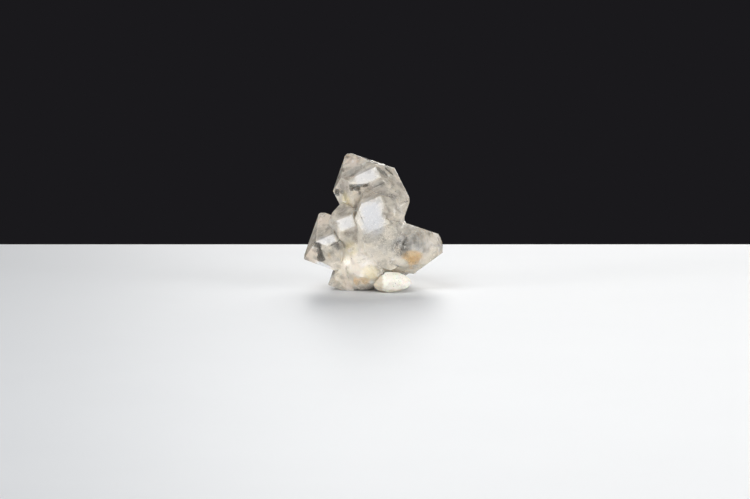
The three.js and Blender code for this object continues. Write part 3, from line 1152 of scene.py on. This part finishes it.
@dataclass
class Inclusions:
    """Everything that is shut in the stone or sits in its skin."""

    veil: GrainFinish = GrainFinish("veil", (0.92, 0.90, 0.86), (0.84, 0.80, 0.73), 0.4, 0.35)
    dark: GrainFinish = GrainFinish("dark_grain", (0.045, 0.042, 0.036), (0.16, 0.15, 0.13), 0.2, 0.4)
    iron: GrainFinish = GrainFinish("iron_stain", (0.78, 0.50, 0.22), (0.88, 0.64, 0.36), 0.6, 0.7)
    flecks: Strewing = Strewing(
        "pale_flecks",
        "veil",
        per_mm2=2.2,
        least=0.02,
        most=0.07,
        lengthwise=1.8,
        thickness=0.15,
        base=0.05,
        zones=(
            Zone(-3.8, 7.0, 5.0, 1.0),
            Zone(6.8, 10.8, 3.0, 0.9),
            Zone(4.0, 13.0, 5.0, 0.5),
            Zone(5.5, 20.0, 3.0, 0.5),
            Zone(-1.0, 3.5, 3.0, 0.6),
        ),
        seed=7,
    )
    grains: Strewing = Strewing(
        "dark_grains",
        "dark_grain",
        per_mm2=3.0,
        least=0.025,
        most=0.08,
        lengthwise=1.5,
        thickness=0.3,
        base=0.05,
        zones=(
            Zone(6.8, 10.8, 3.0, 1.6),
            Zone(3.0, 14.0, 5.0, 0.5),
            Zone(10.5, 11.8, 2.6, 0.7),
            Zone(2.6, 28.4, 3.4, 0.5),
            Zone(4.6, 23.5, 3.4, 0.6),
            Zone(-7.6, 28.0, 3.2, 0.35),
            Zone(-13.3, 9.5, 2.2, 0.8),
            Zone(-8.9, 11.0, 1.8, 0.7),
        ),
        seed=11,
    )
    specks: Strewing = Strewing(
        "lump_specks",
        "dark_grain",
        per_mm2=0.9,
        least=0.03,
        most=0.09,
        lengthwise=1.3,
        thickness=0.35,
        base=0.5,
        zones=(Zone(6.2, 2.3, 2.2, 1.4),),
        seed=5,
    )

    def build(
        self, quartz: bpy.types.Object, lump: bpy.types.Object, surface: Surface
    ) -> list[bpy.types.Object]:
        """Makes the flecks, the grains, the lump's specks and the stain.

        Args:
            quartz: The finished crystals.
            lump: The finished lump.
            surface: The solids on which they are placed.

        Returns:
            Their objects.
        """
        dark = self.dark.build()
        return [
            self.flecks.build(quartz, surface, self.veil.build()),
            self.grains.build(quartz, surface, dark),
            self.specks.build(lump, surface, dark),
            IronStain().build(quartz, surface, self.iron.build()),
        ]


@dataclass(frozen=True)
class Softbox:
    """A square softbox that faces the specimen.

    way is the way to it from the specimen, distance and side are in metres, watts is its power and
    aim is how far above the ground it points.
    """

    name: str
    way: Triple
    distance: float
    side: float
    watts: float
    tint: Colour
    aim: float = 0.015

    def hang(self) -> None:
        """Makes the light."""
        data = bpy.data.lights.new(self.name, "AREA")
        data.shape = "SQUARE"
        data.size = self.side
        data.energy = self.watts
        data.color = self.tint
        made = bpy.data.objects.new(self.name, data)
        way = Vector(self.way)
        made.location = way.normalized() * self.distance + Vector((0, 0, self.aim))
        made.rotation_euler = way.to_track_quat("Z", "Y").to_euler()
        bpy.context.scene.collection.objects.link(made)


SOFTBOXES = [
    Softbox("key", (-0.367, -0.480, 0.796), 0.55, side=0.30, watts=1.2, tint=(0.95, 0.975, 1.0)),
    Softbox("front", (0.3, -1.0, 0.12), 0.9, side=0.4, watts=2.1, tint=(1.0, 0.99, 0.97)),
    Softbox("right", (1.0, -0.5, 0.3), 0.7, side=0.5, watts=3.2, tint=(1.0, 0.99, 0.97)),
    Softbox("left", (-1.0, -0.45, 0.1), 0.7, side=0.2, watts=2.8, tint=(1.0, 0.98, 0.95)),
    Softbox("back", (0.2, 0.9, 0.5), 0.7, side=0.5, watts=3.2, tint=(1.0, 0.99, 0.97)),
]


@dataclass
class Studio:
    """Camera, pale floor and soft lights."""

    focal_px: float = 4221.0
    frame_px: tuple[int, int] = (750, 499)
    target_px: tuple[float, float] = (373.5, 290.5)
    sensor_mm: float = 36.0
    floor_back: float = 0.081
    floor_half: float = 0.6
    floor_pale: Colour = (0.74, 0.755, 0.78)
    floor_paler: Colour = (0.77, 0.785, 0.81)
    backdrop: Colour = (0.0103, 0.0098, 0.0116)

    def camera(self) -> None:
        """Makes the camera at the place from which the specimen was seen."""
        data = bpy.data.cameras.new("camera")
        data.sensor_width = self.sensor_mm
        data.lens = self.focal_px / self.frame_px[0] * self.sensor_mm
        data.clip_start = 0.05
        made = bpy.data.objects.new("camera", data)
        bpy.context.scene.collection.objects.link(made)
        below = math.atan((self.target_px[1] - self.frame_px[1] / 2) / self.focal_px)
        beside = math.atan((self.target_px[0] - self.frame_px[0] / 2) / self.focal_px)
        made.location = SIGHT.eye_point
        made.rotation_euler = (math.pi / 2 - SIGHT.pitch + below, 0, beside)
        bpy.context.scene.camera = made

    def floor(self) -> None:
        """Lays the pale floor."""
        t = Tree("floor")
        colour = t.mix(t.noise(40, 2, 0.5), self.floor_pale, self.floor_paler)
        surface = t.node("ShaderNodeBsdfPrincipled", {}, {"Base Color": colour, "Roughness": 0.5})
        bm = bmesh.new()
        bmesh.ops.create_grid(bm, x_segments=1, y_segments=1, size=self.floor_half)
        for vert in bm.verts:
            vert.co.y = min(vert.co.y, self.floor_back)
        made = make_object(bm, "floor")
        made.data.materials.append(t.finish(surface))

    def build(self) -> None:
        """Sets up the whole studio."""
        self.camera()
        self.floor()
        for softbox in SOFTBOXES:
            softbox.hang()
        world = bpy.data.worlds.new("studio")
        world.use_nodes = True
        world.node_tree.nodes["Background"].inputs["Color"].default_value = (*self.backdrop, 1)
        scene = bpy.context.scene
        scene.world = world
        scene.view_settings.view_transform = "Standard"


def main() -> None:
    """Builds the studio and the specimen, and reports each piece."""
    logging.basicConfig(level=logging.INFO, format="%(message)s")
    Studio().build()
    surface = Surface("quartz_cluster", "matrix_lump")
    quartz = QuartzCluster().build(QuartzFinish(), surface)
    lump = MatrixLump().build(MatrixFinish())
    for made in (quartz, lump, *Inclusions().build(quartz, lump, surface)):
        log.info("%s: %d faces", made.name, len(made.data.polygons))


if __name__ == "__main__":
    main()
